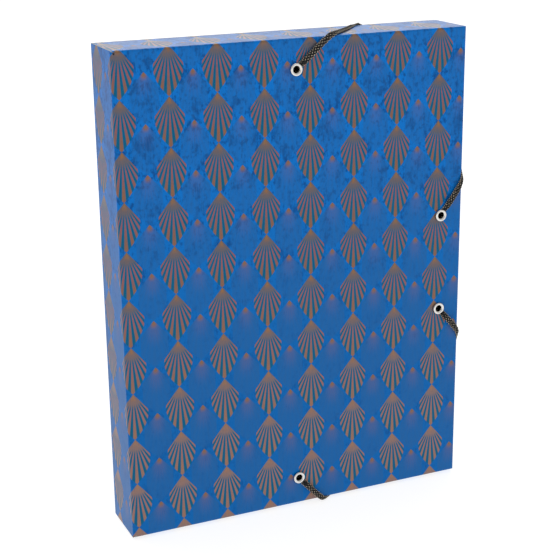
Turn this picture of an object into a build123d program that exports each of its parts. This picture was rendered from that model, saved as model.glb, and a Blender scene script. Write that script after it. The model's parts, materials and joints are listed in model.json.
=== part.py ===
"""Upright card filing box with a hinged lid and two elastic corner closures.

The box stands on its tail wall. +Z is up, -Y is the base panel, +Y is the lid,
-X is the spine and +X is the fore-edge. The origin is on the surface that the
box stands on, below the middle of the box. All sizes are in millimetres.
"""

from build123d import *
import math
import os

# ---- the box ---------------------------------------------------------------
width = 252.0  # spine to fore-edge, outside
height = 330.0  # tail to head, outside
depth = 42.0  # base panel to lid, outside
card = 1.0  # thickness of the card
fold_radius = 1.5  # outside radius of a fixed fold
hinge_gap = 0.1  # clearance round the bead of a hinge fold
lid_gap = 0.2  # clearance between the lid and the free edges of the walls
glue_gap = 0.05  # glue line between a corner tab and what it is glued to
tab_length = 22.0  # corner tab, along the head or tail
tab_chamfer = 7.0  # slanted corners at the free end of a corner tab
tab_margin = 1.0  # corner tab, short of the base panel and of the lid

# ---- the eyelets -----------------------------------------------------------
bore_d = 4.2
barrel_wall = 0.35
flange_d = 8.5
flange_thickness = 0.9
clench_d = 7.4  # the end that is rolled outward inside the box
clench_thickness = 0.45
hole_gap = 0.15  # card hole around the barrel, on the radius
edge_inset = 20.0  # head and tail eyelets, from the head or tail fold
edge_offset = 128.0  # head and tail eyelets, from the fore-edge fold
fore_inset = 17.0  # fore-edge eyelets, from the fore-edge fold
fore_offset = 130.5  # fore-edge eyelets, from the head or tail fold

# ---- the elastics ----------------------------------------------------------
cord_d = 3.8
cord_gap = 0.2  # clearance between the cord and the card that it crosses
pressed = 2.0  # thickness that the box's weight leaves of the cord under the tail wall
squashed = 0.8  # thickness of the end that is trapped under a flange
squashed_width = 4.4
web_width = 3.52  # the part of the end that passes through the card slot
trap_gap = 0.05  # clearance on each side of a trapped end
neck_end = 7.6  # from the eyelet's axis to where the cord is round
tail_end = 12.0  # from the eyelet's axis to the cut end inside the box

# ---- places that follow ----------------------------------------------------
stand = pressed + cord_gap  # the cord under the tail wall holds it this high
left = -width / 2
right = width / 2
near = -depth / 2
far = depth / 2
bottom = stand
top = stand + height
inner_near = near + card
hinge_x = left + card / 2
spine_hinge_y = near + card / 2
lid_hinge_y = far - card / 2
bead = card / 2
panel_left = hinge_x + bead + hinge_gap  # base panel and walls stop short of the spine
wall_reach = depth - card - lid_gap

trap_height = squashed + 2 * trap_gap  # a flange's underside above the card
barrel_r = bore_d / 2 + barrel_wall
trap_start = barrel_r + 2 * trap_gap  # where the trapped end passes the barrel
slot_end = trap_start + squashed + trap_gap
tongue_y = near - trap_height / 2
inner_tongue_y = inner_near + trap_height / 2

cord_r = cord_d / 2
cord_stand = cord_r + cord_gap
cord_near = near - cord_stand
cord_far = far + cord_stand
cord_right = right + cord_stand
cord_top = top + cord_stand
cord_bottom = bottom - cord_stand

eyelet_places = {
    "head": (right - edge_offset, top - edge_inset),
    "upper_fore": (right - fore_inset, top - fore_offset),
    "lower_fore": (right - fore_inset, bottom + fore_offset),
    "tail": (right - edge_offset, bottom + edge_inset),
}

# Each elastic leaves one eyelet, rounds four edges of the box and ends at the
# other eyelet. The four points are where its straight runs meet, outside the edges.
routes = {
    "elastic_head": (
        "head",
        "upper_fore",
        [
            (22.8, cord_near, cord_top),
            (67.5, cord_far, cord_top),
            (cord_right, cord_far, 272.2),
            (cord_right, cord_near, 228.7),
        ],
    ),
    "elastic_tail": (
        "tail",
        "lower_fore",
        [
            (17.0, cord_near, cord_bottom),
            (60.0, cord_far, cord_bottom),
            (cord_right, cord_far, 63.2),
            (cord_right, cord_near, 109.7),
        ],
    ),
}
# Radii at those points: the folds are rounder than the cut edges of the lid.
route_radii = [7.0, 5.4, 5.4, 7.0]


def eyelet_centre(place):
    """The middle of an eyelet, on the outer face of the base panel."""
    x, z = eyelet_places[place]
    return Vector(x, near, z)


def cord_direction(place, point):
    """The unit vector along the base panel from an eyelet to the next route point."""
    away = Vector(*point) - eyelet_centre(place)
    return Vector(away.X, 0, away.Z).normalized()


def route_ends(elastic):
    """(eyelet, direction) for each end of an elastic."""
    start, end, points = routes[elastic]
    return [
        (start, cord_direction(start, points[0])),
        (end, cord_direction(end, points[-1])),
    ]


os.makedirs("parts", exist_ok=True)


def write(piece, name):
    """Label a finished piece and write its STEP file."""
    piece.label = name
    export_step(piece, f"parts/{name}.step")


# ---- base panel, with a hole and a cord slot for each eyelet ---------------
with BuildPart() as base_panel:
    with BuildSketch(Plane.XZ.offset(-near)):
        with Locations((panel_left, bottom + fold_radius)):
            Rectangle(
                right - fold_radius - panel_left,
                height - 2 * fold_radius,
                align=(Align.MIN, Align.MIN),
            )
    extrude(amount=-card)
    for elastic in routes:
        for place, direction in route_ends(elastic):
            hole_plane = Plane(
                origin=eyelet_centre(place), x_dir=direction, z_dir=(0, -1, 0)
            )
            with BuildSketch(hole_plane):
                Circle(barrel_r + hole_gap)
                Rectangle(
                    slot_end,
                    squashed_width + 2 * trap_gap,
                    align=(Align.MIN, Align.CENTER),
                )
            extrude(amount=-card, mode=Mode.SUBTRACT)
write(base_panel.part, "base_panel")


# ---- head, tail and fore-edge walls, each with its fold to the base panel --
def wall_profile():
    """Section of a wall: quarter-round fold at the origin, then a flat strip."""
    inner_radius = fold_radius - card
    with BuildSketch(Plane.XY) as section:
        with BuildLine():
            outside = CenterArc((fold_radius, fold_radius), fold_radius, 180, 90)
            outer_face = Line(outside @ 1, (wall_reach, 0))
            free_edge = Line(outer_face @ 1, (wall_reach, card))
            inner_face = Line(free_edge @ 1, (fold_radius, card))
            inside = CenterArc((fold_radius, fold_radius), inner_radius, 270, -90)
            Line(inside @ 1, outside @ 0)
        make_face()
    return section.sketch


wall_run = right - panel_left  # head and tail walls
fore_run = height - 2 * fold_radius  # fore-edge wall, between the head and tail folds
walls = {
    "head_wall": ((panel_left + wall_run / 2, near, top), (-1, 0, 0), wall_run),
    "tail_wall": ((panel_left + wall_run / 2, near, bottom), (1, 0, 0), wall_run),
    "fore_edge_wall": ((right, near, bottom + height / 2), (0, 0, 1), fore_run),
}
for name, (origin, along, run) in walls.items():
    with BuildPart() as wall:
        with BuildSketch(Plane(origin=origin, x_dir=(0, 1, 0), z_dir=along)):
            add(wall_profile())
        extrude(amount=run / 2, both=True)
    write(wall.part, name)

# ---- corner tabs, folded from the fore-edge wall and glued inside the others
tab_root = right - card - glue_gap
tab_tip = tab_root - tab_length
tab_near = inner_near + tab_margin
tab_far = near + wall_reach - tab_margin
tab_levels = {
    "head_corner_tab": top - 2 * card - glue_gap,
    "tail_corner_tab": bottom + card + glue_gap,
}
for name, level in tab_levels.items():
    with BuildPart() as tab:
        with BuildSketch(Plane.XY.offset(level)):
            with BuildLine():
                Polyline(
                    (tab_root, tab_near),
                    (tab_root, tab_far),
                    (tab_tip + tab_chamfer, tab_far),
                    (tab_tip, tab_far - tab_chamfer),
                    (tab_tip, tab_near + tab_chamfer),
                    (tab_tip + tab_chamfer, tab_near),
                    close=True,
                )
            make_face()
        extrude(amount=card)
    write(tab.part, name)

# ---- spine panel: its bead turns in the fold beside the base panel ---------
with BuildPart() as spine_panel:
    with BuildSketch(Plane.XY.offset(bottom)):
        with Locations((hinge_x, spine_hinge_y)):
            Circle(bead)
            Rectangle(
                card,
                lid_hinge_y - bead - hinge_gap - spine_hinge_y,
                align=(Align.CENTER, Align.MIN),
            )
    extrude(amount=height)
write(spine_panel.part, "spine_panel")

# ---- lid panel: its bead turns in the fold at the far edge of the spine ----
with BuildPart() as lid_panel:
    with BuildSketch(Plane.XY.offset(bottom)):
        with Locations((hinge_x, lid_hinge_y)):
            Circle(bead)
            Rectangle(right - hinge_x, card, align=(Align.MIN, Align.CENTER))
    extrude(amount=height)
write(lid_panel.part, "lid_panel")


# ---- eyelets ---------------------------------------------------------------
def eyelet_profile():
    """Half section of an eyelet, x from its axis and y from the card's outer face into the box.

    The flange is domed outside, and the barrel is rolled outward inside the box.
    """
    bore_r = bore_d / 2
    flange_r = flange_d / 2
    clench_r = clench_d / 2
    under_flange = -trap_height
    clench_face = card + trap_height
    barrel_end = clench_face + clench_thickness
    crown_r = (bore_r + flange_r) / 2
    with BuildSketch(Plane.XY) as section:
        with BuildLine():
            funnel = EllipticalCenterArc(
                (crown_r, under_flange),
                crown_r - bore_r,
                flange_thickness,
                start_angle=180,
                arc_size=180,
            )
            Line(funnel @ 1, (barrel_r, under_flange))
            Line((barrel_r, under_flange), (barrel_r, clench_face))
            Line((barrel_r, clench_face), (clench_r, clench_face))
            Line((clench_r, clench_face), (clench_r, barrel_end))
            Line((clench_r, barrel_end), (bore_r, barrel_end))
            Line((bore_r, barrel_end), funnel @ 0)
        make_face()
    return section.sketch


for place in eyelet_places:
    with BuildPart() as eyelet:
        with BuildSketch(Plane(origin=eyelet_centre(place))):
            add(eyelet_profile())
        revolve(axis=Axis(eyelet_centre(place), (0, 1, 0)))
    write(eyelet.part, f"{place}_eyelet")


# ---- elastics --------------------------------------------------------------
def trapped_end(place, direction):
    """The squashed end of an elastic: under the flange, through the slot and back out inside."""
    centre = eyelet_centre(place)
    at_trap = centre + direction * trap_start
    at_rim = centre + direction * (flange_d / 2 + trap_gap)
    at_neck = centre + direction * neck_end
    with BuildPart() as piece:
        rim = Plane(
            origin=(at_rim.X, tongue_y, at_rim.Z), x_dir=(0, 1, 0), z_dir=direction
        )
        neck = Plane(
            origin=(at_neck.X, cord_near, at_neck.Z), x_dir=(0, 1, 0), z_dir=direction
        )
        with BuildSketch(rim):
            Ellipse(squashed / 2, squashed_width / 2)
        with BuildSketch(neck):
            Circle(cord_r)
        loft()
        with BuildSketch(rim):
            Ellipse(squashed / 2, squashed_width / 2)
        extrude(amount=-(at_rim - at_trap).length)
        through = Plane(
            origin=(at_trap.X, tongue_y, at_trap.Z), x_dir=direction, z_dir=(0, 1, 0)
        )
        with BuildSketch(through):
            Rectangle(squashed, web_width, align=(Align.MIN, Align.CENTER))
        extrude(amount=inner_tongue_y - tongue_y)
        inside = Plane(
            origin=(at_trap.X, inner_tongue_y, at_trap.Z),
            x_dir=(0, 1, 0),
            z_dir=direction,
        )
        with BuildSketch(inside):
            Ellipse(squashed / 2, squashed_width / 2)
        extrude(amount=tail_end - trap_start)
    return piece.part


for name, (start, end, points) in routes.items():
    (_, out), (_, back) = route_ends(name)
    first = eyelet_centre(start) + out * neck_end
    last = eyelet_centre(end) + back * neck_end
    stops = [(first.X, cord_near, first.Z), *points, (last.X, cord_near, last.Z)]
    with BuildPart() as elastic:
        with BuildLine() as route:
            FilletPolyline(*stops, radius=route_radii)
        with BuildSketch(Plane(origin=stops[0], x_dir=(0, 1, 0), z_dir=out)):
            Circle(cord_r)
        sweep(path=route.wires()[0])
        tube = elastic.part.volume
        add(trapped_end(start, out))
        add(trapped_end(end, back))
        if elastic.part.bounding_box().min.Z < 0:
            # The box stands on this one, and what it presses flat is cut away.
            split(bisect_by=Plane.XY, keep=Keep.TOP)
    length = route.wires()[0].length
    section = math.pi * cord_r**2
    print(f"{name}: radii {route_radii}, tube {length:.1f} mm long, ", end="")
    print(f"volume {tube:.0f} mm3 against section x length {section * length:.0f} mm3")
    write(elastic.part, name)
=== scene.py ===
"""Looks of a card filing box: printed folded card, nickel eyelets and braided elastics."""

import json
import math

import bmesh
import bpy
from bpy.props import FloatProperty, FloatVectorProperty, IntProperty, PointerProperty
from mathutils import Matrix, Vector
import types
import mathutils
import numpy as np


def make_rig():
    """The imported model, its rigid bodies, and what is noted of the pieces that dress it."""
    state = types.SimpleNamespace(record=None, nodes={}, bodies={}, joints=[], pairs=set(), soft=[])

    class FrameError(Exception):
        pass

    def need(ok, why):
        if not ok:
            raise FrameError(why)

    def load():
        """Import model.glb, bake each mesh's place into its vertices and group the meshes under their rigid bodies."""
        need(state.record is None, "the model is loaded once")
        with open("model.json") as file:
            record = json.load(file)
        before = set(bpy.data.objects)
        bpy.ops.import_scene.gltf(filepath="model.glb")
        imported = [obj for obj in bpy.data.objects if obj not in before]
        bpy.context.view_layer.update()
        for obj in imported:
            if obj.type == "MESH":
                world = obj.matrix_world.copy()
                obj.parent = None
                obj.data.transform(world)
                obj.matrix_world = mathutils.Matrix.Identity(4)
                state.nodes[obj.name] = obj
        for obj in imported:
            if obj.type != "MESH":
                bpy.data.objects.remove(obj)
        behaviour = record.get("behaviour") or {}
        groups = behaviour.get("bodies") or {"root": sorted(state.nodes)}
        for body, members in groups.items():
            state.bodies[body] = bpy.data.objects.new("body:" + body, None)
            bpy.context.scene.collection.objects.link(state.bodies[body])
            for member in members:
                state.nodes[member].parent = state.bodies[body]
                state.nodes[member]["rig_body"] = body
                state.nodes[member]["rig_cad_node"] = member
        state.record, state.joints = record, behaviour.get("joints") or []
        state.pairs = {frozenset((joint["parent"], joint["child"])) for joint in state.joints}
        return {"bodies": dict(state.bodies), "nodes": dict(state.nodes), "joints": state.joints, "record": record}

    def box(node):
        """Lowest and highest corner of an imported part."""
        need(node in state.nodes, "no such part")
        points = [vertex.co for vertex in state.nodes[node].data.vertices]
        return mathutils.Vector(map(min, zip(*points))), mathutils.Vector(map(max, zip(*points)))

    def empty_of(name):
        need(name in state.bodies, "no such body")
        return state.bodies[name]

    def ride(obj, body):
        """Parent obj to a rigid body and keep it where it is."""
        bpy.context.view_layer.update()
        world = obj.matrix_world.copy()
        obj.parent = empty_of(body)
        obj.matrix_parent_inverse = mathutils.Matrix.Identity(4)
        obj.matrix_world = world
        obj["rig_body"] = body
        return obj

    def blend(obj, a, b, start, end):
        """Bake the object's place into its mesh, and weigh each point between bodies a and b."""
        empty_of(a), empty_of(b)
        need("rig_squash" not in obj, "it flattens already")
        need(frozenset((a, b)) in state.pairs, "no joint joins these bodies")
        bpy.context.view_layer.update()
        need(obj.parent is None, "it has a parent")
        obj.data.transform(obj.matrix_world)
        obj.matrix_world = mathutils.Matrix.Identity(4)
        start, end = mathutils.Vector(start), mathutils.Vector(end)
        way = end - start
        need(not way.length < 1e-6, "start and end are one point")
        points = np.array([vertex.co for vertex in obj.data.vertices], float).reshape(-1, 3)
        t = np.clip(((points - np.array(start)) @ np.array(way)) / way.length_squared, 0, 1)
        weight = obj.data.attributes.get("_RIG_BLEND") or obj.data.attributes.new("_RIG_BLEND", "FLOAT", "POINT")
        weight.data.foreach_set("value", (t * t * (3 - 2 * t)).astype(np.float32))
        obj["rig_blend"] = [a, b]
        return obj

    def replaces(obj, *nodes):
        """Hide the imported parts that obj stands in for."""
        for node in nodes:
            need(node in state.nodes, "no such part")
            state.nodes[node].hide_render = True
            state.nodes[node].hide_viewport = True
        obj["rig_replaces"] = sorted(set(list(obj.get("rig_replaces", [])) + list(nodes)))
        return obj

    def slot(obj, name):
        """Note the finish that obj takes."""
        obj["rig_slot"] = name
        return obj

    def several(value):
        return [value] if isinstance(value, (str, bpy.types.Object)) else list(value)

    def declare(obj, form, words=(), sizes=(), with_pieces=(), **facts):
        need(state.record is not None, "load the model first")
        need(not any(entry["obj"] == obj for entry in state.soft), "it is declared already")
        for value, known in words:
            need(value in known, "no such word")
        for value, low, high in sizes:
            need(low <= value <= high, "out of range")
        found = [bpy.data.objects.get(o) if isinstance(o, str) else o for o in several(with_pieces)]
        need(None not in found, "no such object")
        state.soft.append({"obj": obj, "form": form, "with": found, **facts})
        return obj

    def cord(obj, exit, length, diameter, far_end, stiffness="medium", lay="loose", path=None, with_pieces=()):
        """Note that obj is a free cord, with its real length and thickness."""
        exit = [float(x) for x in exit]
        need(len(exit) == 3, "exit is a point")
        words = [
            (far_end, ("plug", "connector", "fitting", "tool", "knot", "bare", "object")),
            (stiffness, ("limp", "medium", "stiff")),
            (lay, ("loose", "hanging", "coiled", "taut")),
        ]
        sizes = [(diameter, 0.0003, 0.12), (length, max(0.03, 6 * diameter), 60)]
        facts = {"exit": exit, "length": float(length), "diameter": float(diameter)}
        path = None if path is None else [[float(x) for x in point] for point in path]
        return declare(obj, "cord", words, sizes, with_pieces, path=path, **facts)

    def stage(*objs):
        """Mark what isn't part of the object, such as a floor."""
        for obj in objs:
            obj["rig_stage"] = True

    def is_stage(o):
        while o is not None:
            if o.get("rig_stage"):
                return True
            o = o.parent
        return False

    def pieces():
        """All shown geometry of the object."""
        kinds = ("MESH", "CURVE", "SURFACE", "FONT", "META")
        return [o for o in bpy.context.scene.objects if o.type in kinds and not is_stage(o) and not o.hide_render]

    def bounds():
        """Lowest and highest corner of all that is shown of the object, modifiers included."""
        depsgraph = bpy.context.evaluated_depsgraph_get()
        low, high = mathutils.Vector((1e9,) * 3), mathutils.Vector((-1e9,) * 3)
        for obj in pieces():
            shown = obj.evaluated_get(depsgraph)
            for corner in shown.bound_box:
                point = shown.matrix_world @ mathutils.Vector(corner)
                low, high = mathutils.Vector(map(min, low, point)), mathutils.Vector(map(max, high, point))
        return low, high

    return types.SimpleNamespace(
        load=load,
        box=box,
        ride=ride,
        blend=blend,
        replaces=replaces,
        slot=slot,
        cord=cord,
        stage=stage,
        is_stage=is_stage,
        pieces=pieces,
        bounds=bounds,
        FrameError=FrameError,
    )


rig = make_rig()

bl_info = {
    "name": "Card Filing Box",
    "version": (1, 0, 0),
    "blender": (4, 5, 0),
    "location": "3D View > Sidebar > Filing Box",
    "description": "Printed card, eyelets and braided elastics round a packed box frame",
    "category": "Object",
}

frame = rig.load()
cad_low, cad_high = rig.bounds()

MM = 0.001
BLANK = "blank"  # the UV map that holds places on the unfolded blank, in metres
TOUCH = 1e-6  # places closer than this are the same
SHARP = math.radians(35)  # edges sharper than this stay sharp in the shading


def screen(red, green, blue):
    """A colour as a screen shows it, 0 to 255 a channel, made linear."""
    return tuple(
        c / 255 / 12.92 if c <= 10 else ((c / 255 + 0.055) / 1.055) ** 2.4
        for c in (red, green, blue)
    )


def length_of(name, description, millimetres):
    """A property that holds a length in metres."""
    return FloatProperty(
        name=name,
        description=description,
        default=millimetres * MM,
        unit="LENGTH",
        subtype="DISTANCE",
        precision=5,
    )


def number_of(name, description, default):
    """A property that holds a plain number."""
    return FloatProperty(name=name, description=description, default=default, precision=4)


def angle_of(name, description, degrees):
    """A property that holds an angle."""
    return FloatProperty(
        name=name,
        description=description,
        default=math.radians(degrees),
        unit="ROTATION",
        subtype="ANGLE",
    )


def colour_of(name, description, *channels):
    """A property that holds a linear colour."""
    return FloatVectorProperty(
        name=name,
        description=description,
        default=screen(*channels),
        size=3,
        min=0,
        max=1,
        subtype="COLOR",
    )


class CardSizes(bpy.types.PropertyGroup):
    """Sizes of the folded card."""

    thickness: length_of("Card", "Thickness of the card", 1.0)
    fold_radius: length_of("Fold radius", "Outside radius of every fold", 1.5)
    flap: length_of("Flap", "Flat strip that a fold piece keeps on each side", 1.0)
    support: length_of("Support", "Flat strip that keeps shading off the flats", 0.5)
    corner: length_of("Lid corner", "Radius of the lid's two free corners", 2.0)
    butt: length_of("Butt joint", "How far the fore-edge wall stops below the others", 1.05)
    fold_steps: IntProperty(
        name="Fold steps", description="Flats round a quarter fold", default=6
    )


class PrintSizes(bpy.types.PropertyGroup):
    """Sizes of the printed fans and leaves."""

    column_pitch: length_of("Column pitch", "From one column of fans to the next", 32.436)
    row_pitch: length_of("Row pitch", "From one fan to the one below it", 32.48)
    first_column: length_of("First column", "Axis of the column beside the spine", -121.6)
    first_apex: length_of("First apex", "Height of the top row of fans", 334.3)
    fan_spread: angle_of("Fan spread", "Half angle of a fan at its apex", 40.5)
    fan_reach: number_of("Fan reach", "Length of a fan's middle ray, in row pitches", 1.0)
    fan_taper: number_of("Fan taper", "How much shorter a ray is for each radian", 0.92)
    ray_step: angle_of("Ray step", "Angle from one ray to the next", 9.4)
    leaf_spread: angle_of("Leaf spread", "Half angle of a leaf at its apex", 44.0)
    leaf_width: length_of("Leaf width", "Half the width of a leaf", 9.6)
    leaf_reach: number_of("Leaf reach", "Length of a leaf, in row pitches", 1.0)
    leaf_taper: number_of("Leaf taper", "How much shorter a leaf is for each radian", 0.75)


class PrintColours(bpy.types.PropertyGroup):
    """Colours of the print and of the plain card."""

    ground: colour_of("Ground", "Blue ground in the upper part", 0, 118, 208)
    ground_low: colour_of("Low ground", "Blue ground toward the tail", 0, 104, 182)
    mottle: colour_of("Mottle", "Darker blotches of the ground", 0, 80, 150)
    leaf: colour_of("Leaf", "Body of a leaf", 34, 100, 164)
    leaf_heart: colour_of("Leaf heart", "Body of a leaf near its tip", 86, 100, 148)
    leaf_tip: colour_of("Leaf tip", "Copper tip of a leaf", 140, 104, 84)
    gap: colour_of("Gap", "Between the rays of a fan", 0, 96, 128)
    tip: colour_of("Fan tip", "Apex of a fan", 150, 106, 62)
    crown: colour_of("Fan crown", "Below the apex, where the rays still touch", 110, 98, 100)
    ray: colour_of("Ray", "Upper part of a ray", 150, 92, 96)
    ray_end: colour_of("Ray end", "Lower end of a ray", 142, 98, 74)
    # Copper colour used toward the tail: a plain shift of the fan ink by height on the blank
    worn: colour_of("Worn copper", "Paler copper toward the tail", 168, 128, 112)
    inner: colour_of("Inner face", "Plain card inside the box", 214, 214, 208)
    core: colour_of("Cut edge", "Core of the card where it is cut", 176, 180, 180)


class EyeletSizes(bpy.types.PropertyGroup):
    """Sizes of the eyelets."""

    bore: length_of("Bore", "Radius of the bore", 2.1)
    barrel: length_of("Barrel", "Outside radius of the barrel", 2.45)
    rim: length_of("Rim", "Radius of the flange", 4.25)
    steps: IntProperty(name="Steps", description="Steps of the full turn", default=64)
    metal: colour_of("Metal", "Nickel plating", 226, 223, 218)


class ElasticSizes(bpy.types.PropertyGroup):
    """Sizes of the braided elastics."""

    diameter: length_of("Diameter", "Diameter of an elastic", 3.8)
    strands: IntProperty(name="Strands", description="Strands each way round", default=6)
    weave: length_of("Weave", "Length of one over and under", 3.1)
    step: length_of("Step", "Length between points along a strand", 0.43)
    strand: length_of("Strand", "Radius of a black strand", 0.55)
    fleck: length_of("Fleck", "Radius of a pale yarn", 0.26)
    fuzz: length_of("Fuzz", "How far the soft yarn stands out of the nominal size", 0.15)
    breadth: number_of("Breadth", "Width of the soft cord over its nominal size", 1.14)
    spread: number_of("Spread", "How much wider a flat part is, as a share", 0.1)
    rounding: length_of("Rounding", "How softly the cord turns over at an edge", 4.0)
    black: colour_of("Black", "Black strands", 10, 9, 10)
    pale: colour_of("Pale", "Pale yarn", 186, 172, 148)


class StageSettings(bpy.types.PropertyGroup):
    """Camera, floor and light."""

    place: FloatVectorProperty(
        name="Camera",
        description="Place of the camera",
        default=(-0.36806, -0.81436, 0.44699),
        subtype="TRANSLATION",
        unit="LENGTH",
    )
    azimuth: angle_of("Azimuth", "Where the camera stands round the box", -23.998)
    elevation: angle_of("Elevation", "How far the camera looks down", 17.623)
    roll: angle_of("Roll", "Turn of the camera about its line of sight", -0.629)
    lens: FloatProperty(
        name="Lens",
        description="Focal length",
        default=86.86,
        unit="CAMERA",
    )
    floor_colour: colour_of("Floor", "Pale floor", 170, 170, 170)
    floor_glow: number_of("Floor glow", "Strength of the floor's own light", 0.8)
    surroundings: number_of("Surroundings", "Strength of the white surroundings", 0.62)
    back_light: number_of("Back light", "Power of the soft light behind the box", 10.5)
    top_light: number_of("Top light", "Power of the soft light above the box", 9.0)


class Wire:
    """A number that varies over a surface. Sums on it add Math nodes."""

    def __init__(self, finish, socket):
        self.finish = finish
        self.socket = socket

    def out(self, key):
        """Another output of the same node."""
        return Wire(self.finish, self.socket.node.outputs[key])

    def __add__(self, other):
        return self.finish.maths("ADD", self, other)

    __radd__ = __add__

    def __mul__(self, other):
        return self.finish.maths("MULTIPLY", self, other)

    __rmul__ = __mul__

    def __sub__(self, other):
        return self.finish.maths("SUBTRACT", self, other)

    def __rsub__(self, other):
        return self.finish.maths("SUBTRACT", other, self)

    def __truediv__(self, other):
        return self.finish.maths("DIVIDE", self, other)

    def __abs__(self):
        return self.finish.maths("ABSOLUTE", self)

    def __round__(self):
        return self.finish.maths("ROUND", self)

    def larger(self, other):
        """The larger of the two."""
        return self.finish.maths("MAXIMUM", self, other)

    def part(self):
        """What is left over above the whole number below it."""
        return self.finish.maths("FRACT", self)

    def step(self, low, high):
        """0 at low, 1 at high and a smooth step between. High may be the lower number."""
        if high < low:
            return 1 - self.step(high, low)
        return self.finish.node(
            "ShaderNodeMapRange",
            {"interpolation_type": "SMOOTHSTEP"},
            {"Value": self, "From Min": low, "From Max": high},
        )


class Finish:
    """One material under construction."""

    def __init__(self, name, **constants):
        self.material = bpy.data.materials.new(name)
        self.material.use_nodes = True
        self.tree = self.material.node_tree
        self.shader = self.tree.nodes["Principled BSDF"]
        for key, value in constants.items():
            self.shader.inputs[key.replace("_", " ")].default_value = value

    def node(self, kind, settings=None, sockets=None):
        """A new node, its settings first and then its sockets, as its first output."""
        node = self.tree.nodes.new(kind)
        for key, value in (settings or {}).items():
            setattr(node, key, value)
        for key, value in (sockets or {}).items():
            if isinstance(value, Wire):
                self.tree.links.new(value.socket, node.inputs[key])
            else:
                node.inputs[key].default_value = value
        return Wire(self, next(s for s in node.outputs if s.enabled))

    def on_object(self):
        """Places in the object's own coordinates."""
        return self.node("ShaderNodeTexCoord").out("Object")

    def maths(self, operation, *values):
        """One Math node as a wire."""
        return self.node(
            "ShaderNodeMath", {"operation": operation}, dict(enumerate(values))
        )

    def mix(self, share, first, second):
        """First where share is 0 and second where it is 1, as colours."""
        values = [
            v if isinstance(v, Wire) else (*v[:3], 1.0) for v in (first, second)
        ]
        return self.node(
            "ShaderNodeMix",
            {"data_type": "RGBA"},
            {0: share, 6: values[0], 7: values[1]},
        )

    def noise(self, where, scale, detail=2.0, roughness=0.5):
        """Noise from 0 to 1."""
        return self.node(
            "ShaderNodeTexNoise",
            None,
            {"Vector": where, "Scale": scale, "Detail": detail, "Roughness": roughness},
        )

    def stretched(self, where, *factors):
        """Coordinates with each axis multiplied."""
        return self.node(
            "ShaderNodeVectorMath", {"operation": "MULTIPLY"}, {0: where, 1: factors}
        )

    def bump(self, height, distance, strength):
        """Relief of that depth, in metres."""
        self.feed(
            "Normal",
            self.node(
                "ShaderNodeBump",
                None,
                {"Height": height, "Distance": distance, "Strength": strength},
            ),
        )

    def feed(self, key, wire):
        """Drive one of the shader's sockets."""
        self.tree.links.new(wire.socket, self.shader.inputs[key])


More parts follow.
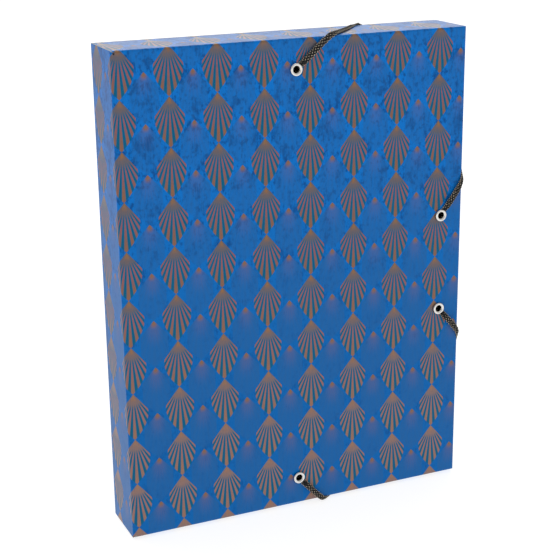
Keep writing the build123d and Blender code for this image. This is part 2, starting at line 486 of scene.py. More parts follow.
def printed_card(name):
    """Blue card with copper fans and dim leaves in half-drop columns."""
    sizes = bpy.context.scene.box_print_sizes
    colours = bpy.context.scene.box_print_colours
    finish = Finish(name, IOR=1.2)
    place = finish.node("ShaderNodeUVMap", {"uv_map": BLANK})
    split = finish.node("ShaderNodeSeparateXYZ", None, {0: place})
    across, up = split.out(0), split.out(1)
    spare_rows = 50  # keeps the count of rows above nought all over the blank

    def cell(shift):
        """(rows below the apex, distance from the axis, angle) for one set of columns."""
        columns = (across - sizes.first_column) / sizes.column_pitch - shift
        side = abs(columns - round(columns)) * sizes.column_pitch
        below = ((sizes.first_apex - up) / sizes.row_pitch - shift + spare_rows).part()
        angle = finish.maths("ARCTAN2", side, below * sizes.row_pitch + TOUCH)
        return below, side, angle

    # Ground, with darker blotches and upright fibres.
    fibre = finish.noise(finish.stretched(place, 1.0, 0.09, 1.0), 1500.0, 3.0, 0.6)
    blotch = finish.noise(finish.stretched(place, 1.0, 0.6, 1.0), 120.0, 4.0, 0.65)
    spot = finish.noise(finish.stretched(place, 1.0, 0.7, 1.0), 380.0, 3.0, 0.6)
    wash = finish.noise(place, 9.0)
    head = up.step(0.1, 0.28)  # 1 in the upper half, where the mottling is strong
    mottle = blotch.step(0.42, 0.72) * 0.8 + spot.step(0.46, 0.7) * 0.7
    mottle = mottle * (0.5 + head * 0.5) + (fibre - 0.5) * 1.1 + (wash - 0.5) * 0.6
    ground = finish.mix(up.step(0.08, 0.3), colours.ground_low, colours.ground)
    colour = finish.mix(mottle.step(0.0, 1.0), ground, colours.mottle)

    # Dim leaves.
    below, side, angle = cell(0.5)
    outline = sizes.leaf_reach - angle * sizes.leaf_taper
    spread = sizes.leaf_spread
    inside = (outline - below).step(-0.03, 0.04) * angle.step(spread + 0.05, spread - 0.05)
    inside = inside * side.step(sizes.leaf_width + 0.4 * MM, sizes.leaf_width - 0.6 * MM)
    turns = angle / sizes.ray_step
    streaks = abs(turns - round(turns))
    heart = below.step(0.62, 0.1) * side.step(7.0 * MM, 1.0 * MM)
    strength = 0.95 - below * 0.25 - streaks * 0.5 - (blotch - 0.5) * 0.8 - head * 0.3
    body = finish.mix(heart * 0.9, colours.leaf, colours.leaf_heart)
    colour = finish.mix(inside * strength, colour, body)
    tip = below.step(0.19, 0.05) * side.step(2.9 * MM, 0.4 * MM) * inside
    colour = finish.mix(tip, colour, colours.leaf_tip)

    # Copper fans.
    below, side, angle = cell(0.0)
    outline = sizes.fan_reach - angle * sizes.fan_taper
    spread = sizes.fan_spread
    inside = (outline - below).step(-0.012, 0.012)
    inside = inside * angle.step(spread + 0.02, spread - 0.02)
    turns = angle / sizes.ray_step
    off_ray = abs(turns - round(turns)) - below * 0.05
    rays = off_ray.step(0.26, 0.15)
    reach = below / finish.maths("COSINE", angle)
    solid = reach.step(0.34, 0.2)
    copper = inside * rays.larger(solid)
    ink = finish.mix(reach.step(0.24, 0.4), colours.crown, colours.ray)
    ink = finish.mix(below.step(0.45, 0.85), ink, colours.ray_end)
    heart = below.step(0.2, 0.06) * angle.step(0.62, 0.2)
    ink = finish.mix(heart, ink, colours.tip)
    # Copper ink paler toward the tail: a plain mix by height on the blank
    ink = finish.mix(up.step(0.2, 0.02) * 0.55, ink, colours.worn)
    colour = finish.mix(inside * 0.9, colour, colours.gap)
    full = copper * (0.92 + (fibre - 0.5) * 0.7 - spot.step(0.5, 0.75) * head * 0.3)
    colour = finish.mix(full, colour, ink)

    finish.feed("Base Color", colour)
    finish.feed("Metallic", copper * 0.25)
    finish.feed("Roughness", 0.3 + blotch * 0.12 - copper * 0.04)
    finish.bump(fibre * 0.4 + blotch * 0.6 + copper * 0.5, 0.06 * MM, 0.6)
    return finish.material


def plain_card(name, key):
    """Uncoated card: short fibres and faint specks."""
    colours = bpy.context.scene.box_print_colours
    base = getattr(colours, key)
    finish = Finish(name)
    place = finish.on_object()
    fibre = finish.noise(finish.stretched(place, 1.0, 1.0, 0.15), 1400.0, 3.0, 0.6)
    speck = finish.noise(place, 900.0, 1.0)
    wash = finish.noise(place, 14.0, 3.0)
    dark = tuple(c * 0.78 for c in base)
    shade = (fibre - 0.5) * 0.8 + wash.step(0.35, 0.75) * 0.35
    colour = finish.mix(shade.step(0.0, 0.9), base, dark)
    half = tuple(c * 0.5 for c in base)
    colour = finish.mix(speck.step(0.7, 0.78) * 0.5, colour, half)
    finish.feed("Base Color", colour)
    finish.feed("Roughness", 0.72 + fibre * 0.2)
    finish.bump(fibre, 0.08 * MM, 0.5)
    return finish.material


def nickel(name):
    """Plated metal with fine turning marks and a few dull patches."""
    sizes = bpy.context.scene.box_eyelets
    finish = Finish(name)
    place = finish.on_object()
    patch = finish.noise(place, 420.0, 3.0)
    grain = finish.noise(place, 3800.0)
    dull = tuple(c * 0.72 for c in sizes.metal)
    finish.feed("Base Color", finish.mix(patch.step(0.5, 0.75) * 0.6, sizes.metal, dull))
    finish.feed("Metallic", 1.0 - patch.step(0.62, 0.8) * 0.15)
    finish.feed("Roughness", 0.16 + patch.step(0.4, 0.8) * 0.16 + grain * 0.05)
    finish.bump(grain, 0.02 * MM, 0.4)
    return finish.material


def braid_yarn(name, colour, spread):
    """Twisted yarn of a braid."""
    finish = Finish(name)
    place = finish.on_object()
    fuzz = finish.noise(place, 5200.0, 2.0, 0.7)
    patch = finish.noise(place, 700.0)
    pale = tuple(min(1.0, c * (1 + spread)) for c in colour)
    dark = tuple(c * (1 - spread) for c in colour)
    shade = (fuzz * 0.6 + patch * 0.4).step(0.3, 0.7)
    finish.feed("Base Color", finish.mix(shade, dark, pale))
    finish.feed("Roughness", 0.55 + fuzz * 0.3)
    finish.bump(fuzz, 0.08 * MM, 0.7)
    return finish.material


def finish_of(name, make, *details):
    """The material of that name, made once."""
    return bpy.data.materials.get(name) or make(name, *details)


def card_finishes():
    """Print, inner face and cut edge, in the order that the card pieces use."""
    return [
        finish_of("fan_print", printed_card),
        finish_of("inner_card", plain_card, "inner"),
        finish_of("cut_card", plain_card, "core"),
    ]


def new_piece(name, bm, materials):
    """A mesh object at the origin from a bmesh, smooth, with sharp edges kept."""
    mesh = bpy.data.meshes.new(name)
    bm.to_mesh(mesh)
    bm.free()
    piece = bpy.data.objects.new(name, mesh)
    bpy.context.scene.collection.objects.link(piece)
    for material in materials:
        mesh.materials.append(material)
    mesh.shade_smooth()
    mesh.set_sharp_from_angle(angle=SHARP)
    return piece


def settle(piece):
    """Apply the piece's modifiers to its mesh."""
    depsgraph = bpy.context.evaluated_depsgraph_get()
    mesh = bpy.data.meshes.new_from_object(piece.evaluated_get(depsgraph))
    piece.modifiers.clear()
    old, piece.data = piece.data, mesh
    mesh.name = piece.name
    bpy.data.meshes.remove(old)
    mesh.shade_smooth()
    mesh.set_sharp_from_angle(angle=SHARP)
    return piece


def thicken(piece, thickness):
    """Give a printed skin its card, inward, with a plain inner face and cut edges."""
    wall = piece.modifiers.new("card", "SOLIDIFY")
    wall.thickness = thickness
    wall.offset = -1.0
    wall.use_even_offset = True
    wall.use_quality_normals = True
    wall.material_offset = 1
    wall.material_offset_rim = 2
    return settle(piece)


def along_fold(place, limit, depth, start, radius):
    """Distance along a card that leaves the flat at limit, folds and runs on along depth."""
    if place <= limit:
        return place
    if depth <= start:
        return limit + radius * math.atan2(place - limit, start - depth)
    return limit + radius * math.pi / 2 + depth - start


class Outside:
    """Places of the box's outer faces, taken from the frame, in metres."""

    def __init__(self):
        sizes = bpy.context.scene.box_card
        low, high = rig.box("spine_panel")
        base_low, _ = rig.box("base_panel")
        _, lid_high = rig.box("lid_panel")
        self.left = low.x
        self.right = lid_high.x
        self.bottom = low.z
        self.top = high.z
        self.near = base_low.y
        self.far = lid_high.y
        wall_low, wall_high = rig.box("head_wall")
        self.wall_left = wall_low.x
        self.wall_end = wall_high.y
        self.radius = sizes.fold_radius
        self.fold_left = self.left + self.radius
        self.fold_right = self.right - self.radius
        self.fold_top = self.top - self.radius
        self.fold_bottom = self.bottom + self.radius
        self.fold_near = self.near + self.radius
        self.fold_far = self.far - self.radius
        self.seam = self.fold_left + sizes.flap  # where the tray's skin meets the spine's

    def on_blank(self, point, normal):
        """Place of a point of the tray's skin on the unfolded blank."""

        def fold(place, limit):
            return along_fold(place, limit, point.y, self.fold_near, self.radius)

        if abs(normal.x) > abs(normal.z):
            return fold(point.x, self.fold_right), point.z
        if normal.z > 0:
            return point.x, fold(point.z, self.fold_top)
        return point.x, -fold(-point.z, -self.fold_bottom)

    def round_spine(self, point):
        """Distance on the blank from the box's middle, leftward, along spine and lid."""
        quarter = self.radius * math.pi / 2
        if point.y <= self.fold_near:
            start, radius = self.fold_near, self.radius
            return -along_fold(-point.x, -self.fold_left, point.y, start, radius)
        spine_end = self.fold_left - quarter - (self.fold_far - self.fold_near)
        if point.y <= self.fold_far:
            return self.fold_left - quarter - (point.y - self.fold_near)
        if point.x >= self.fold_left:
            return spine_end - quarter - (point.x - self.fold_left)
        turned = math.atan2(point.y - self.fold_far, self.fold_left - point.x)
        return spine_end - self.radius * turned


def lay_out(bm, place_of):
    """Write the blank's UV map with place_of(point, face normal)."""
    layer = bm.loops.layers.uv.new(BLANK)
    bm.normal_update()
    for face in bm.faces:
        for loop in face.loops:
            loop[layer].uv = place_of(loop.vert.co, face.normal)


def cut(bm, point, normal):
    """Cut every face along a plane."""
    bmesh.ops.bisect_plane(
        bm,
        geom=bm.verts[:] + bm.edges[:] + bm.faces[:],
        dist=1e-7,
        plane_co=point,
        plane_no=normal,
    )


def bevel(bm, geom, offset, segments, affect):
    """Round off edges or corners."""
    bmesh.ops.bevel(
        bm,
        geom=geom,
        offset=offset,
        offset_type="OFFSET",
        segments=segments,
        profile=0.5,
        affect=affect,
        material=-1,
    )


def punch(piece, places, near, radius):
    """Round holes through the card for the eyelets."""
    bm = bmesh.new()
    for x, z in places:
        turn = Matrix.Translation((x, near, z)) @ Matrix.Rotation(math.pi / 2, 4, "X")
        bmesh.ops.create_cone(
            bm,
            cap_ends=True,
            segments=48,
            radius1=radius,
            radius2=radius,
            depth=10 * MM,
            matrix=turn,
        )
    cutter = new_piece("punch", bm, [])
    holes = piece.modifiers.new("holes", "BOOLEAN")
    holes.operation = "DIFFERENCE"
    holes.solver = "EXACT"
    holes.object = cutter
    settle(piece)
    bpy.data.objects.remove(cutter)


EYELETS = ("head", "upper_fore", "lower_fore", "tail")


def eyelet_places():
    """(x, z) of each eyelet's axis."""
    places = {}
    for name in EYELETS:
        low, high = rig.box(f"{name}_eyelet")
        places[name] = ((low.x + high.x) / 2, (low.z + high.z) / 2)
    return places


class BOX_OT_tray(bpy.types.Operator):
    """Base panel and its three walls, folded from one card"""

    bl_idname = "box.tray"
    bl_label = "Tray"

    def execute(self, context):
        sizes = context.scene.box_card
        out = Outside()
        spans = (
            (out.seam, out.right),
            (out.near, out.wall_end),
            (out.bottom, out.top),
        )
        middle = Vector((low + high) / 2 for low, high in spans)
        size = [high - low for low, high in spans]
        bm = bmesh.new()
        bmesh.ops.create_cube(
            bm, size=1.0, matrix=Matrix.Translation(middle) @ Matrix.Diagonal((*size, 1.0))
        )
        bm.normal_update()
        open_sides = [f for f in bm.faces if f.normal.y > 0.5 or f.normal.x < -0.5]
        bmesh.ops.delete(bm, geom=open_sides, context="FACES_ONLY")
        loose = [e for e in bm.edges if not e.link_faces]
        bmesh.ops.delete(bm, geom=loose, context="EDGES")
        folds = [
            e
            for e in bm.edges
            if len(e.link_faces) == 2
            and all(abs(v.co.y - out.near) < TOUCH for v in e.verts)
        ]
        bevel(bm, folds, out.radius, sizes.fold_steps, "EDGES")
        flat = sizes.support
        cut(bm, (out.fold_right - flat, 0, 0), (1, 0, 0))
        cut(bm, (0, 0, out.fold_top - flat), (0, 0, 1))
        cut(bm, (0, 0, out.fold_bottom + flat), (0, 0, 1))
        cut(bm, (0, out.fold_near + flat, 0), (0, 1, 0))
        haste = 0.25  # below 1, a fold's end leaves the seam early and fills the corner
        for vert in bm.verts:
            if vert.co.x < out.seam + TOUCH:
                share = min(max((vert.co.y - out.near) / out.radius, 0.0), 1.0)
                vert.co.x += (out.wall_left - out.seam) * share**haste
        lay_out(bm, out.on_blank)
        corners = [
            e
            for e in bm.edges
            if all(
                v.co.y > out.fold_near + flat / 2
                and v.co.x > out.right - 10 * TOUCH
                and min(out.top - v.co.z, v.co.z - out.bottom) < 10 * TOUCH
                for v in e.verts
            )
        ]
        bmesh.ops.split_edges(bm, edges=corners)
        bm.normal_update()
        fore_wall = {
            v
            for f in bm.faces
            if f.normal.x > 0.9
            for v in f.verts
            if v.co.y > out.fold_near + 2 * flat
        }
        for vert in fore_wall:
            if vert.co.z > out.fold_top:
                vert.co.z = out.top - sizes.butt
            elif vert.co.z < out.fold_bottom:
                vert.co.z = out.bottom + sizes.butt
        piece = new_piece("tray_card", bm, card_finishes())
        thicken(piece, sizes.thickness)
        play = 0.1 * MM  # between an eyelet's barrel and its hole
        radius = context.scene.box_eyelets.barrel + play
        punch(piece, eyelet_places().values(), out.near, radius)
        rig.ride(piece, "tray")
        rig.replaces(piece, "base_panel", "head_wall", "tail_wall", "fore_edge_wall")
        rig.slot(piece, "printed_card")
        return {"FINISHED"}


def drawn_profile(bm, first, steps):
    """An open chain of edges from first. A step is a corner, or an arc's centre and angle."""
    vert = bmesh.ops.create_vert(bm, co=first)["vert"][0]
    for target, turn, parts in steps:
        if turn:
            made = bmesh.ops.spin(
                bm,
                geom=[vert],
                cent=target,
                axis=(0, 0, 1),
                angle=turn,
                steps=parts,
                use_duplicate=False,
            )
            vert = next(g for g in made["geom_last"] if isinstance(g, bmesh.types.BMVert))
        else:
            made = bmesh.ops.extrude_vert_indiv(bm, verts=[vert])
            vert = made["verts"][0]
            vert.co = Vector(target)


def raise_profile(bm, levels):
    """Extrude the chain upward through the levels."""
    edges = bm.edges[:]
    for low, high in zip(levels, levels[1:]):
        made = bmesh.ops.extrude_edge_only(bm, edges=edges)["geom"]
        verts = [g for g in made if isinstance(g, bmesh.types.BMVert)]
        edges = [g for g in made if isinstance(g, bmesh.types.BMEdge)]
        bmesh.ops.translate(bm, verts=verts, vec=(0, 0, high - low))


def face_outward(bm):
    """Turn every face of the skin away from the box's middle."""
    bm.normal_update()
    level = Vector((1, 1, 0))
    inward = [f for f in bm.faces if f.normal.dot(f.calc_center_median() * level) < 0]
    if len(inward) * 2 > len(bm.faces):
        bmesh.ops.reverse_faces(bm, faces=bm.faces[:])
    bm.normal_update()


def turning_card(name, bm, out, thickness):
    """The card piece of a raised profile that runs round the spine."""
    face_outward(bm)
    lay_out(bm, lambda point, normal: (out.round_spine(point), point.z))
    return thicken(new_piece(name, bm, card_finishes()), thickness)


class BOX_OT_spine(bpy.types.Operator):
    """Spine panel with the fold that joins it to the base panel"""

    bl_idname = "box.spine"
    bl_label = "Spine"

    def execute(self, context):
        sizes = context.scene.box_card
        out = Outside()
        flat = sizes.support
        bm = bmesh.new()
        steps = [
            ((out.fold_left + flat, out.near, out.bottom), 0, 0),
            ((out.fold_left, out.near, out.bottom), 0, 0),
            ((out.fold_left, out.fold_near, out.bottom), -math.pi / 2, sizes.fold_steps),
            ((out.left, out.fold_near + flat, out.bottom), 0, 0),
            ((out.left, out.fold_far - sizes.flap, out.bottom), 0, 0),
        ]
        drawn_profile(bm, (out.seam, out.near, out.bottom), steps)
        raise_profile(bm, [out.bottom, out.fold_bottom, out.fold_top, out.top])
        ease_ends(bm, out)
        piece = turning_card("spine_card", bm, out, sizes.thickness)
        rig.blend(
            piece,
            "tray",
            "spine",
            start=(out.fold_left, out.near, 0),
            end=(out.left, out.fold_near, 0),
        )
        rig.replaces(piece, "spine_panel")
        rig.slot(piece, "printed_card")
        return {"FINISHED"}


def ease_ends(bm, out):
    """Bring the ends of a fold's near side in to the round of the neighbouring fold."""
    reach = out.radius
    for vert in bm.verts:
        if vert.co.y < out.fold_near:
            share = (out.fold_near - vert.co.y) / reach
            drop = reach * (1 - math.sqrt(max(0.0, 1 - share * share)))
            if vert.co.z > out.fold_top + TOUCH:
                vert.co.z = out.top - drop
            elif vert.co.z < out.fold_bottom - TOUCH:
                vert.co.z = out.bottom + drop


class BOX_OT_lid(bpy.types.Operator):
    """Lid panel with the fold that joins it to the spine"""

    bl_idname = "box.lid"
    bl_label = "Lid"

    def execute(self, context):
        sizes = context.scene.box_card
        out = Outside()
        flat = sizes.support
        corner = sizes.corner
        bm = bmesh.new()
        steps = [
            ((out.left, out.fold_far - flat, out.bottom), 0, 0),
            ((out.left, out.fold_far, out.bottom), 0, 0),
            ((out.fold_left, out.fold_far, out.bottom), -math.pi / 2, sizes.fold_steps),
            ((out.fold_left + flat, out.far, out.bottom), 0, 0),
            ((out.right - corner, out.far, out.bottom), 0, 0),
            ((out.right, out.far, out.bottom), 0, 0),
        ]
        drawn_profile(bm, (out.left, out.fold_far - sizes.flap, out.bottom), steps)
        raise_profile(bm, [out.bottom, out.bottom + corner, out.top - corner, out.top])
        free = [
            v
            for v in bm.verts
            if v.co.x > out.right - TOUCH
            and min(out.top - v.co.z, v.co.z - out.bottom) < TOUCH
        ]
        bevel(bm, free, corner * 0.9, 5, "VERTICES")
        piece = turning_card("lid_card", bm, out, sizes.thickness)
        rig.blend(
            piece,
            "spine",
            "lid",
            start=(out.left, out.fold_far, 0),
            end=(out.fold_left, out.far, 0),
        )
        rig.replaces(piece, "lid_panel")
        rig.slot(piece, "printed_card")
        return {"FINISHED"}


class BOX_OT_tabs(bpy.types.Operator):
    """Finish of the two glued corner tabs inside the tray"""

    bl_idname = "box.tabs"
    bl_label = "Corner tabs"

    def execute(self, context):
        for name in ("head_corner_tab", "tail_corner_tab"):
            tab = frame["nodes"][name]
            tab.data.materials.clear()
            tab.data.materials.append(finish_of("inner_card", plain_card, "inner"))
        return {"FINISHED"}


class BOX_OT_eyelets(bpy.types.Operator):
    """Four nickel eyelets, each turned from one profile"""

    bl_idname = "box.eyelets"
    bl_label = "Eyelets"

    def execute(self, context):
        sizes = context.scene.box_eyelets
        bore, barrel, rim = (v / MM for v in (sizes.bore, sizes.barrel, sizes.rim))
        card = context.scene.box_card.thickness / MM
        # Radius and depth from the card's outer face, in millimetres, round the section.
        section = [
            (rim - 0.18, -0.92),
            (rim, -1.06),
            (rim, -1.28),
            (rim - 0.14, -1.52),
            (rim - 0.45, -1.71),
            (rim - 0.85, -1.79),
            (rim - 1.25, -1.74),
            (bore + 0.62, -1.58),
            (bore + 0.34, -1.28),
            (bore + 0.14, -0.86),
            (bore + 0.03, -0.3),
            (bore, 0.4),
            (bore, card + 0.85),
            (bore + 0.12, card + 1.16),
            (bore + 0.45, card + 1.33),
            (bore + 0.95, card + 1.34),
            (bore + 1.35, card + 1.2),
            (bore + 1.55, card + 0.98),
            (bore + 1.5, card + 0.92),
            (bore + 1.2, card + 0.98),
            (barrel + 0.2, card + 0.96),
            (barrel, card + 0.8),
            (barrel, -0.75),
            (barrel + 0.15, -1.0),
            (barrel + 0.6, -1.22),
            (barrel + 1.1, -1.22),
        ]
        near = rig.box("base_panel")[0].y
        for name, (x, z) in eyelet_places().items():
            centre = Vector((x, near, z))
            bm = bmesh.new()
            verts = [
                bmesh.ops.create_vert(bm, co=centre + Vector((r, y, 0)) * MM)["vert"][0]
                for r, y in section
            ]
            for first, second in zip(verts, verts[1:] + verts[:1]):
                bm.edges.new((first, second))
            bmesh.ops.spin(
                bm,
                geom=bm.verts[:] + bm.edges[:],
                cent=centre,
                axis=(0, 1, 0),
                angle=2 * math.pi,
                steps=sizes.steps,
                use_merge=True,
                use_duplicate=False,
            )
            bmesh.ops.remove_doubles(bm, verts=bm.verts[:], dist=TOUCH)
            bmesh.ops.recalc_face_normals(bm, faces=bm.faces[:])
            piece = new_piece(f"{name}_ring", bm, [finish_of("plated_nickel", nickel)])
            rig.ride(piece, "tray")
            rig.replaces(piece, f"{name}_eyelet")
            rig.slot(piece, "nickel")
        return {"FINISHED"}


# Control points of each elastic's centre line in millimetres, each with the share of its
# full thickness that the cord keeps there. It is pulled flat on the walls and the folds.
ROUTES = {
    "elastic_head": [
        (-0.2, -21.45, 313.8, 1.0),
        (1.9, -21.45, 315.7, 1.0),
        (4.1, -23.1, 317.7, 1.0),
        (19.6, -22.85, 331.4, 0.85),
        (25.6, -20.2, 333.8, 0.65),
        (38.0, -6.7, 333.25, 0.42),
        (50.2, 6.7, 332.95, 0.28),
        (61.4, 20.9, 332.75, 0.16),
        (65.6, 21.8, 332.0, 0.22),
        (81.6, 23.1, 319.0, 1.0),
        (112.2, 23.1, 288.5, 1.0),
        (126.0, 22.1, 274.1, 0.4),
        (126.9, 21.0, 270.4, 0.32),
        (126.8, 6.5, 256.6, 0.32),
        (126.8, -6.5, 244.3, 0.32),
        (126.55, -20.2, 229.4, 0.24),
        (124.7, -22.7, 223.4, 0.6),
        (113.7, -23.1, 208.4, 1.0),
        (112.0, -21.45, 205.9, 1.0),
        (110.4, -21.45, 203.7, 1.0),
    ],
    "elastic_tail": [
        (-0.4, -21.45, 20.4, 1.0),
        (1.4, -21.45, 18.3, 1.0),
        (3.3, -23.1, 16.0, 1.0),
        (14.9, -22.6, 3.4, 0.8),
        (18.3, -21.4, 1.05, 0.46),
        (32.5, -6.4, 1.05, 0.46),
        (44.5, 6.4, 1.05, 0.46),
        (58.9, 21.4, 1.05, 0.46),
        (62.1, 22.6, 3.0, 0.7),
        (76.7, 23.1, 15.6, 1.0),
        (111.4, 23.1, 47.7, 1.0),
        (126.0, 22.1, 61.4, 0.4),
        (126.9, 21.0, 65.1, 0.32),
        (126.8, 7.0, 79.4, 0.32),
        (126.8, -7.0, 93.5, 0.32),
        (126.55, -20.2, 108.9, 0.24),
        (124.7, -22.7, 114.5, 0.6),
        (114.2, -23.1, 126.4, 1.0),
        (112.3, -21.45, 128.7, 1.0),
        (110.5, -21.45, 130.9, 1.0),
    ],
}


def new_curve(name, depth=0.0, roundness=0):
    """A 3-D curve with a round section of that radius."""
    data = bpy.data.curves.new(name, "CURVE")
    data.dimensions = "3D"
    data.bevel_depth = depth
    data.bevel_resolution = roundness
    data.use_fill_caps = True
    return data


def mesh_of(data):
    """The mesh that a curve makes."""
    holder = bpy.data.objects.new(data.name, data)
    bpy.context.scene.collection.objects.link(holder)
    bpy.context.view_layer.update()
    mesh = bpy.data.meshes.new_from_object(holder)
    bpy.data.objects.remove(holder)
    return mesh


def smooth_line(points):
    """Points along the smooth line that has these control points, given in millimetres."""
    data = new_curve("route")
    data.resolution_u = 24
    spline = data.splines.new("NURBS")
    spline.points.add(len(points) - 1)
    for point, place in zip(spline.points, points):
        point.co = (*(c * MM for c in place), 1.0)
    spline.order_u = 3
    spline.use_endpoint_u = True
    line = mesh_of(data)
    route = [v.co.copy() for v in line.vertices]
    bpy.data.meshes.remove(line)
    return route


def read_route(points):
    """(place, share of the full thickness) along a route, in metres."""
    places = smooth_line([point[:3] for point in points])
    shares = smooth_line([(point[3], number, 0.0) for number, point in enumerate(points)])
    return [(place, share.x / MM) for place, share in zip(places, shares)]


def evenly(route, step):
    """The same route with its places at about step from each other, and its length."""
    runs = [0.0]
    for (first, _), (second, _) in zip(route, route[1:]):
        runs.append(runs[-1] + (second - first).length)
    count = max(2, round(runs[-1] / step))
    even, at = [], 0
    for number in range(count + 1):
        goal = runs[-1] * number / count
        while at < len(route) - 2 and runs[at + 1] < goal:
            at += 1
        part = (goal - runs[at]) / (runs[at + 1] - runs[at])
        (first, thick), (second, other) = route[at], route[at + 1]
        even.append((first.lerp(second, part), thick + (other - thick) * part))
    return even, runs[-1]


def frames_along(route):
    """(place, unit vector along the card, unit vector out of it, share) along a route."""
    out = Outside()
    inset = bpy.context.scene.box_elastics.rounding
    low = Vector((out.left, out.near, out.bottom)) + Vector((inset, inset, inset))
    high = Vector((out.right, out.far, out.top)) - Vector((inset, inset, inset))
    frames = []
    for number, (place, share) in enumerate(route):
        ahead = route[min(number + 1, len(route) - 1)][0]
        behind = route[max(number - 1, 0)][0]
        tangent = (ahead - behind).normalized()
        inside = Vector(min(max(c, a), b) for c, a, b in zip(place, low, high))
        away = place - inside
        away = (away - tangent * away.dot(tangent)).normalized()
        frames.append((place, tangent.cross(away), away, share))
    return frames


def wind_strands(name, frames, length, flatten, radius, yarn):
    """Strands wound both ways round a line, over and under each other, as one mesh."""
    sizes = bpy.context.scene.box_elastics
    thinnest = 0.4  # share of a strand's thickness that is left where the cord is flat
    data = new_curve(name, yarn.thickness, yarn.roundness)
    turn = 2 * math.pi / (sizes.weave * sizes.strands)
    for way in (1, -1):
        for strand in range(sizes.strands):
            spline = data.splines.new("POLY")
            spline.points.add(len(frames) - 1)
            start = 2 * math.pi * strand / sizes.strands
            for number, (place, side, away, share) in enumerate(frames):
                run = length * number / (len(frames) - 1)
                lift = way * math.cos(2 * math.pi * run / sizes.weave)
                angle = start + way * turn * run
                out = yarn.lift(lift, radius)
                flat = share * flatten(run, length)
                wide = sizes.breadth + sizes.spread * (1 - flat)
                offset = side * (math.cos(angle) * out * wide)
                offset += away * (math.sin(angle) * out * flat)
                spline.points[number].co = (*(place + offset), 1.0)
                spline.points[number].radius = thinnest + (1 - thinnest) * flat
    return mesh_of(data)


class BlackYarn:
    """A full strand: it lies half over, half under."""

    def __init__(self, sizes):
        self.thickness = sizes.strand
        self.roundness = 1
        self.swing = 0.14 * MM
        self.below = 0.12 * MM  # how far the pale yarn stands above this one

    def lift(self, wave, radius):
        return radius - self.thickness - self.below + self.swing * (wave - 1)


class PaleYarn:
    """A thin pale yarn in a strand: it only shows where its strand lies over."""

    def __init__(self, sizes):
        self.thickness = sizes.fleck
        self.roundness = 0
        self.sunk = 0.75 * MM

    def lift(self, wave, radius):
        return radius - self.thickness - self.sunk * (1 - max(wave, 0.0) ** 0.5)


def join_meshes(name, parts):
    """One mesh from (mesh, material) pairs."""
    bm = bmesh.new()
    for number, (mesh, _) in enumerate(parts):
        before = len(bm.faces)
        bm.from_mesh(mesh)
        bm.faces.ensure_lookup_table()
        for face in bm.faces[before:]:
            face.material_index = number
        bpy.data.meshes.remove(mesh)
    bmesh.ops.recalc_face_normals(bm, faces=bm.faces[:])
    return new_piece(name, bm, [material for _, material in parts])


def core_of(name, frames, length, flatten, radius):
    """A plain dark tube inside the strands, so that nothing shows between them."""
    thinnest = 0.2  # share of the tube's radius that is left where the cord is flat
    data = new_curve(name, radius, 2)
    spline = data.splines.new("POLY")
    spline.points.add(len(frames) - 1)
    for number, (place, _, _, share) in enumerate(frames):
        run = length * number / (len(frames) - 1)
        spline.points[number].co = (*place, 1.0)
        spline.points[number].radius = max(share * flatten(run, length), thinnest)
    return mesh_of(data)


def braid(name, route, flatten):
    """A braided elastic along a route, with its even points."""
    sizes = bpy.context.scene.box_elastics
    radius = sizes.diameter / 2 + sizes.fuzz
    core = radius * 0.62
    route, length = evenly(route, sizes.step)
    frames = frames_along(route)
    places = [place for place, _ in route]
    black = finish_of("black_yarn", braid_yarn, tuple(sizes.black), 0.45)
    pale = finish_of("pale_yarn", braid_yarn, tuple(sizes.pale), 0.3)
    parts = [
        (wind_strands(name, frames, length, flatten, radius, BlackYarn(sizes)), black),
        (wind_strands(name, frames, length, flatten, radius, PaleYarn(sizes)), pale),
        (core_of(name, frames, length, flatten, core), black),
    ]
    return join_meshes(name, parts), places, length


FLATTEST = 0.1  # share of the full thickness that a flange leaves
UNDER_FLANGE = 2.2 * MM  # length of an end that stays that flat
SWELL = 5.0 * MM  # length over which it gets back its full thickness


def pinched_ends(run, length):
    """Share of the full thickness along an elastic: its ends are flat under the flanges."""
    reach = min(run, length - run)
    share = min(max((reach - UNDER_FLANGE) / SWELL, 0.0), 1.0)
    return FLATTEST + (1 - FLATTEST) * share * share * (3 - 2 * share)


def flat_tail(run, length):
    """Share of the full thickness along the short end inside the box."""
    return FLATTEST + 0.35 * (run / length) ** 2


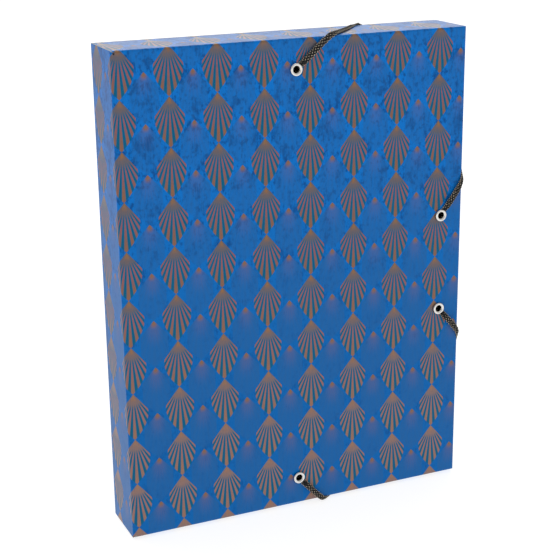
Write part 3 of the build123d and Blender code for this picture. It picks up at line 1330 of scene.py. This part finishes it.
class BOX_OT_elastics(bpy.types.Operator):
    """Two braided elastics and their flattened ends inside the box"""

    bl_idname = "box.elastics"
    bl_label = "Elastics"

    def execute(self, context):
        sizes = context.scene.box_elastics
        spots = eyelet_places()
        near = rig.box("base_panel")[0].y
        inside = near + context.scene.box_card.thickness + 0.42 * MM
        clear = 12  # points of a braid from its end to where it is clear of the flange
        hinge = 10 * MM  # how far from the eyelets' line an elastic turns in full
        inner_end = ((2.6, 0.0), (6.0, 0.1), (12.0, 0.6))  # way along the card, way off it
        loops = {
            "elastic_head": ("head_elastic", "head", "upper_fore"),
            "elastic_tail": ("tail_elastic", "tail", "lower_fore"),
        }
        for node, (body, first, second) in loops.items():
            route = read_route(ROUTES[node])
            piece, places, length = braid(f"{body}_braid", route, pinched_ends)
            on_line, other = (
                Vector((spots[key][0], near, spots[key][1])) for key in (first, second)
            )
            line = other - on_line
            outward = Vector((-line.z, 0, line.x)).normalized()
            middle = sum(places, Vector()) / len(places)
            if outward.dot(middle - on_line) < 0:
                outward = -outward
            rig.blend(piece, "tray", body, start=on_line, end=on_line + outward * hinge)
            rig.replaces(piece, node)
            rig.slot(piece, "elastic")
            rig.cord(
                piece,
                exit=places[0],
                length=round(length, 3),
                diameter=sizes.diameter,
                far_end="object",
                stiffness="limp",
                lay="taut",
                path=places,
            )
            ends = ((first, places[clear]), (second, places[-1 - clear]))
            for eyelet, toward in ends:
                centre = Vector((spots[eyelet][0], inside, spots[eyelet][1]))
                way = (toward - centre) * Vector((1, 0, 1))
                way.normalize()
                route = read_route(
                    [
                        (*((centre + way * d * MM) / MM + Vector((0, y, 0))), 1.0)
                        for d, y in inner_end
                    ]
                )
                tail, _, _ = braid(f"{eyelet}_inner_end", route, flat_tail)
                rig.ride(tail, "tray")
                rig.slot(tail, "elastic")
        return {"FINISHED"}


def soft_light(name, place, aim, width, height, power):
    """A large rectangular light that faces aim."""
    data = bpy.data.lights.new(name, "AREA")
    data.shape = "RECTANGLE"
    data.size = width
    data.size_y = height
    data.energy = power
    light = bpy.data.objects.new(name, data)
    light.location = place
    light.rotation_mode = "QUATERNION"
    light.rotation_quaternion = (Vector(aim) - Vector(place)).to_track_quat("-Z", "Y")
    light.visible_camera = False
    bpy.context.scene.collection.objects.link(light)


def pale_floor(name, colour, glow):
    """Matt pale floor with a barely visible unevenness. Its glow keeps shadows on it faint."""
    finish = Finish(name, Emission_Color=(1.0, 1.0, 1.0, 1.0), Emission_Strength=glow)
    place = finish.on_object()
    cloud = finish.noise(place, 3.0)
    finish.feed(
        "Base Color",
        finish.mix(cloud.step(0.3, 0.7) * 0.3, colour, tuple(c * 0.97 for c in colour)),
    )
    finish.feed("Roughness", 0.85 + cloud * 0.1)
    return finish.material


class BOX_OT_stage(bpy.types.Operator):
    """Pale floor, soft light and camera"""

    bl_idname = "box.stage"
    bl_label = "Stage"

    def execute(self, context):
        settings = context.scene.box_stage
        scene = context.scene
        scene.view_settings.view_transform = "Standard"
        bm = bmesh.new()
        bmesh.ops.create_grid(bm, x_segments=8, y_segments=8, size=12.0)
        matt = pale_floor("pale_floor", tuple(settings.floor_colour), settings.floor_glow)
        floor = new_piece("floor", bm, [matt])
        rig.stage(floor)
        world = bpy.data.worlds.new("surroundings")
        world.use_nodes = True
        sky = world.node_tree.nodes["Background"]
        sky.inputs["Color"].default_value = (1.0, 1.0, 1.0, 1.0)
        sky.inputs["Strength"].default_value = settings.surroundings
        scene.world = world
        middle = (cad_low + cad_high) / 2
        head = (0.0, 0.0, 0.33)
        power = settings.back_light
        soft_light("back_light", (1.0, 2.3, 1.15), head, 1.9, 0.9, power)
        soft_light("top_light", (0.0, 0.4, 2.3), middle, 1.6, 1.2, settings.top_light)
        azimuth, elevation, roll = settings.azimuth, settings.elevation, settings.roll
        back = Vector(
            (
                math.sin(azimuth) * math.cos(elevation),
                -math.cos(azimuth) * math.cos(elevation),
                math.sin(elevation),
            )
        )
        level = Vector((math.cos(azimuth), math.sin(azimuth), 0.0))
        up = back.cross(level)
        side = level * math.cos(roll) + up * math.sin(roll)
        top = up * math.cos(roll) - level * math.sin(roll)
        data = bpy.data.cameras.new("camera")
        data.lens = settings.lens
        data.sensor_width = 36.0
        camera = bpy.data.objects.new("camera", data)
        turn = Matrix((side, top, back)).transposed().to_4x4()
        camera.matrix_world = Matrix.Translation(settings.place) @ turn
        scene.collection.objects.link(camera)
        scene.camera = camera
        return {"FINISHED"}


OPERATORS = (
    BOX_OT_tray,
    BOX_OT_spine,
    BOX_OT_lid,
    BOX_OT_tabs,
    BOX_OT_eyelets,
    BOX_OT_elastics,
    BOX_OT_stage,
)
GROUPS = {
    "box_card": CardSizes,
    "box_print_sizes": PrintSizes,
    "box_print_colours": PrintColours,
    "box_eyelets": EyeletSizes,
    "box_elastics": ElasticSizes,
    "box_stage": StageSettings,
}


class BOX_PT_sidebar(bpy.types.Panel):
    """Sizes, colours and pieces of the filing box"""

    bl_idname = "BOX_PT_sidebar"
    bl_label = "Filing Box"
    bl_space_type = "VIEW_3D"
    bl_region_type = "UI"
    bl_category = "Filing Box"

    def draw(self, context):
        for key, group in GROUPS.items():
            column = self.layout.column()
            settings = getattr(context.scene, key)
            for name in group.__annotations__:
                column.prop(settings, name)
        for operator in OPERATORS:
            self.layout.operator(operator.bl_idname)


def register():
    for group in (*GROUPS.values(), *OPERATORS, BOX_PT_sidebar):
        bpy.utils.register_class(group)
    for key, group in GROUPS.items():
        setattr(bpy.types.Scene, key, PointerProperty(type=group))


def unregister():
    for key in GROUPS:
        delattr(bpy.types.Scene, key)
    for group in (BOX_PT_sidebar, *OPERATORS, *GROUPS.values()):
        bpy.utils.unregister_class(group)


def main():
    register()
    bpy.ops.box.stage()
    bpy.ops.box.elastics()
    bpy.ops.box.tray()
    bpy.ops.box.spine()
    bpy.ops.box.lid()
    bpy.ops.box.tabs()
    bpy.ops.box.eyelets()
    low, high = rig.bounds()
    sizes = {
        "cad": [list(cad_low), list(cad_high)],
        "visual": [list(low), list(high)],
    }
    with open("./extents.json", "w") as file:
        json.dump(sizes, file, indent=1)


if __name__ == "__main__":
    main()
